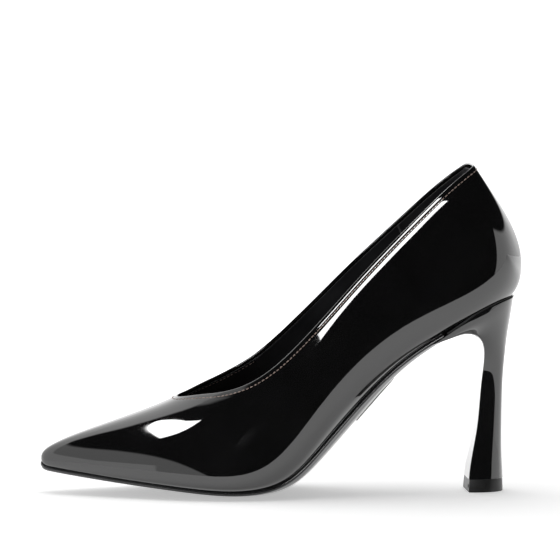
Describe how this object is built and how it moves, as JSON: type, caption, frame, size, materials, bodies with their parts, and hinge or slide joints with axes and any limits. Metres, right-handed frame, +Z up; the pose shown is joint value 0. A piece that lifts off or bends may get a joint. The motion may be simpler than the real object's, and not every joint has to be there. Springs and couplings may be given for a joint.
{
  "type": "high heel pump",
  "caption": "Pointed toe pump with a low cut opening and a tall flared heel, made as a stiffened leather shell on a shanked insole",
  "frame": {"origin": "on the floor, under the middle of the shoe's box", "axes": "+X from toe to heel, +Y towards the inner side of the foot, +Z up from the floor"},
  "size_m": [0.231, 0.077, 0.1574],
  "materials": {
    "patent_leather": "black patent, high gloss coat",
    "tape": "woven tape",
    "stiffener": "matt thermoplastic sheet",
    "backer": "woven cotton",
    "lining": "smooth, low sheen",
    "grip_lining": "fine nap",
    "outsole": "smooth, satin",
    "heel_plastic": "moulded",
    "steel": "drawn",
    "rivet": "polished",
    "top_piece": "smooth, satin",
    "board": "pressed fibre board",
    "filler": "cork and resin sheet",
    "foam": "soft foam",
    "sock": "smooth, low sheen",
    "plaque": "polished, blank"
  },
  "bodies": {
    "root": {"outer_upper": "patent_leather", "heel_cover": "patent_leather", "topline_tape": "tape", "toe_puff": "stiffener", "heel_counter": "stiffener", "backer_outside": "backer", "backer_inside": "backer", "back_stay": "tape", "vamp_lining": "lining", "quarter_lining_outside": "lining", "quarter_lining_inside": "lining", "heel_grip_lining": "grip_lining", "outsole": "outsole", "heel_block": "heel_plastic", "heel_tube": "steel", "top_piece": "top_piece", "top_piece_pin": "steel", "insole_forepart": "board", "insole_backpart": "board", "steel_shank": "steel", "shank_rivets": "rivet", "heel_screw": "steel", "heel_nails": "steel", "bottom_filler": "filler", "sock_foam": "foam", "heel_cushion": "foam", "sock_lining": "sock", "sole_plaque": "plaque", "plaque_pins": "rivet"}
  },
  "joints": []
}
